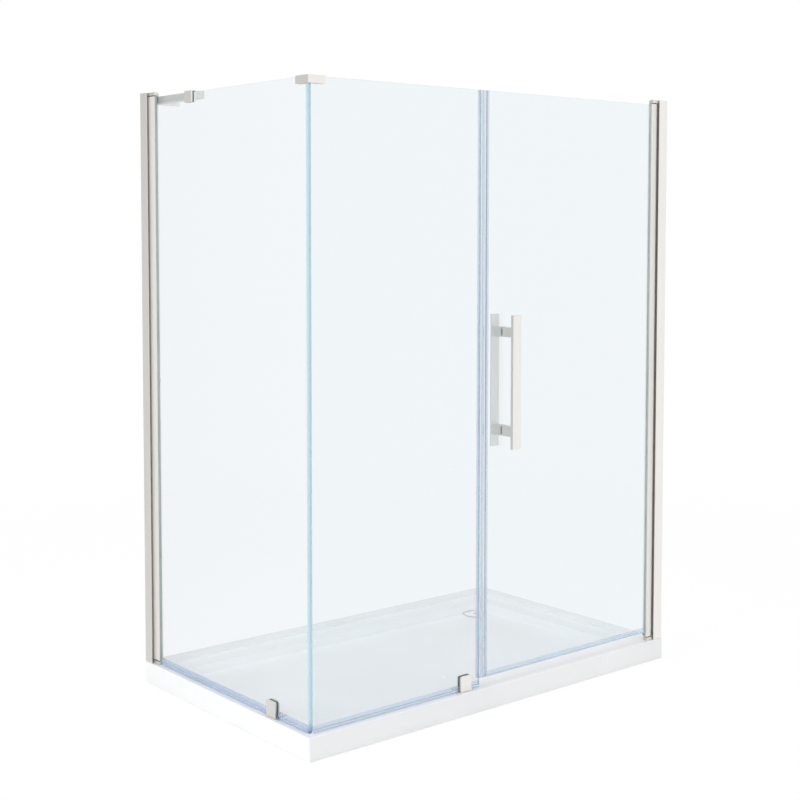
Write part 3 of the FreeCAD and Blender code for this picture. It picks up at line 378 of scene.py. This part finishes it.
def set_sky():
    """White to the eye and through glass, an even light on the object, and in reflections a glow
    that goes from the bright side to the dim one."""
    world = bpy.data.worlds.new("studio_white")
    bpy.context.scene.world = world
    world.use_nodes = True
    tree = world.node_tree
    shine = tree.nodes["Background"]
    shine.inputs["Color"].default_value = (1.0, 1.0, 1.0, 1.0)
    rays = tree.nodes.new("ShaderNodeLightPath").outputs
    direction = tree.nodes.new("ShaderNodeTexCoord").outputs["Generated"]
    height = axis_shares(tree, direction)["Z"]
    above_horizon = spread(tree, height, 0.0, 1.0, *HORIZON_FADE)
    low_glow = by_side(tree, direction, FLOOR_GLOW)
    high_glow = by_side(tree, direction, SKY_GLOW)
    glow = between(tree, above_horizon, low_glow, high_glow)
    light = between(tree, rays["Is Glossy Ray"], SKY_LEVEL, glow)
    seen = calculate(tree, "MAXIMUM", rays["Is Camera Ray"], rays["Is Transmission Ray"])
    tree.links.new(between(tree, seen, light, WHITE_LEVEL), shine.inputs["Strength"])


def floor_finish():
    """Matt white that keeps the object's shadow, and is as white as the sky farther out."""
    material, tree, shader = new_finish("studio_floor")
    tree.nodes.remove(shader)
    rays = tree.nodes.new("ShaderNodeLightPath").outputs
    place = tree.nodes.new("ShaderNodeTexCoord").outputs["Object"]
    away = tree.nodes.new("ShaderNodeVectorMath")
    away.operation = "LENGTH"
    tree.links.new(place, away.inputs[0])
    whiter = spread(tree, away.outputs["Value"], *FLOOR_WHITE_SHARES, *FLOOR_FADE)
    heading = tree.nodes.new("ShaderNodeVectorMath")
    heading.operation = "NORMALIZE"
    tree.links.new(place, heading.inputs[0])
    mirrored_glow = by_side(tree, heading.outputs["Vector"], FLOOR_GLOW)
    glow = between(tree, mirrored_only(tree, rays), WHITE_LEVEL, mirrored_glow)
    indirect = calculate(tree, "MAXIMUM", rays["Is Glossy Ray"], rays["Is Transmission Ray"])
    seen = calculate(tree, "MAXIMUM", rays["Is Camera Ray"], indirect)
    matt = tree.nodes.new("ShaderNodeBsdfDiffuse")
    matt.inputs["Color"].default_value = (*FLOOR_COLOUR, 1.0)
    white = tree.nodes.new("ShaderNodeEmission")
    tree.links.new(glow, white.inputs["Strength"])
    blend = tree.nodes.new("ShaderNodeMixShader")
    tree.links.new(calculate(tree, "MULTIPLY", seen, whiter), blend.inputs["Fac"])
    tree.links.new(matt.outputs["BSDF"], blend.inputs[1])
    tree.links.new(white.outputs["Emission"], blend.inputs[2])
    tree.links.new(blend.outputs["Shader"], tree.nodes["Material Output"].inputs["Surface"])
    return material


def lay_floor():
    """A plain floor just under the feet."""
    mesh = bpy.data.meshes.new("studio_floor")
    shape = bmesh.new()
    bmesh.ops.create_grid(shape, x_segments=1, y_segments=1, size=FLOOR_HALF_WIDTH)
    shape.to_mesh(mesh)
    shape.free()
    mesh.materials.append(floor_finish())
    floor = bpy.data.objects.new("studio_floor", mesh)
    bpy.context.scene.collection.objects.link(floor)
    floor.location.z = -FLOOR_DROP


def hang_lamp(name, place, power):
    """A soft box lamp turned to the shower, which neither the camera nor a reflection shows."""
    lamp = bpy.data.lights.new(name, "AREA")
    lamp.shape = "RECTANGLE"
    lamp.size = lamp.size_y = LAMP_SIZE
    lamp.energy = power
    holder = bpy.data.objects.new(name, lamp)
    bpy.context.scene.collection.objects.link(holder)
    holder.location = place
    toward = Vector(LAMP_AIM) - Vector(place)
    holder.rotation_euler = toward.to_track_quat("-Z", "Y").to_euler()
    holder.visible_camera = False
    holder.visible_glossy = False
    holder.visible_transmission = False


def set_camera():
    """The camera at the photograph's viewing angle."""
    view = bpy.data.cameras.new("front_left_view")
    view.lens = VIEW_LENS
    view.shift_x, view.shift_y = VIEW_SHIFT
    camera = bpy.data.objects.new("front_left_view", view)
    bpy.context.scene.collection.objects.link(camera)
    camera.location = VIEW_POINT
    level = math.cos(VIEW_DIP)
    direction = Vector((
        math.cos(VIEW_HEADING) * level,
        math.sin(VIEW_HEADING) * level,
        -math.sin(VIEW_DIP),
    ))
    camera.rotation_euler = direction.to_track_quat("-Z", "Y").to_euler()
    bpy.context.scene.camera = camera


set_camera()
finish_cad_nodes()
set_sky()
lay_floor()
for lamp_name, lamp_place, lamp_power in LAMPS:
    hang_lamp(lamp_name, lamp_place, lamp_power)
bpy.context.scene.view_settings.view_transform = "Standard"
